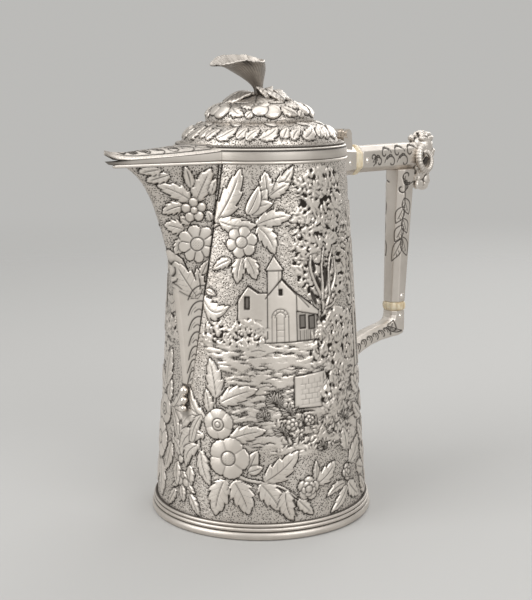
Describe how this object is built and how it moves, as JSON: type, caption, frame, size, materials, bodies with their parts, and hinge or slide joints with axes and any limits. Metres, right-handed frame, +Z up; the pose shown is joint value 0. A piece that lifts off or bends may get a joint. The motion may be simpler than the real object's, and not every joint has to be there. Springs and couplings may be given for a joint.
{
  "type": "coffee pot",
  "caption": "Tapered chased silver coffee pot with a V spout, domed hinged lid with a flower finial and an angular handle with insulating rings.",
  "frame": {"origin": "on the axis of the body, on the plane that the foot stands on", "axes": "+Z up along the body, -X towards the spout, +X towards the handle, +Y to the side; the lid hinge axis is along Y"},
  "size_m": [0.2442, 0.12, 0.2436],
  "materials": {
    "chased_silver": "hand-chased silver, polished on the relief, dark in the recesses",
    "plain_silver": "plain silver with a soft hand polish",
    "ivory": "polished, slightly yellowed"
  },
  "bodies": {
    "pot": {"bottom_plate": "plain_silver", "foot_moulding": "plain_silver", "foot_ring": "plain_silver", "handle_arm": "chased_silver", "handle_grip": "chased_silver", "hinge_fork": "plain_silver", "hinge_pin": "plain_silver", "lower_bracket": "chased_silver", "lower_insulator": "ivory", "lower_insulator_pins": "plain_silver", "ram_head": "chased_silver", "rim_band": "plain_silver", "rim_wire": "plain_silver", "spout_beads": "plain_silver", "spout_shell": "chased_silver", "strainer": "plain_silver", "upper_insulator": "ivory", "upper_insulator_pins": "plain_silver", "upper_socket": "plain_silver", "vessel_wall": "chased_silver"},
    "lid": {"lid_plate": "plain_silver", "lid_bezel": "plain_silver", "lid_moulding": "chased_silver", "lid_dome_lower": "chased_silver", "lid_dome_upper": "chased_silver", "lid_hinge_leaf": "plain_silver", "finial_leaves": "chased_silver", "finial_flower": "chased_silver", "finial_stud": "plain_silver", "finial_nut": "plain_silver"}
  },
  "joints": [
    {"name": "lid_hinge", "type": "hinge", "parent": "pot", "child": "lid", "pos_m": [0.062, 0, 0.1995], "axis": [0, 1, 0], "range_deg": [0, 105]}
  ]
}
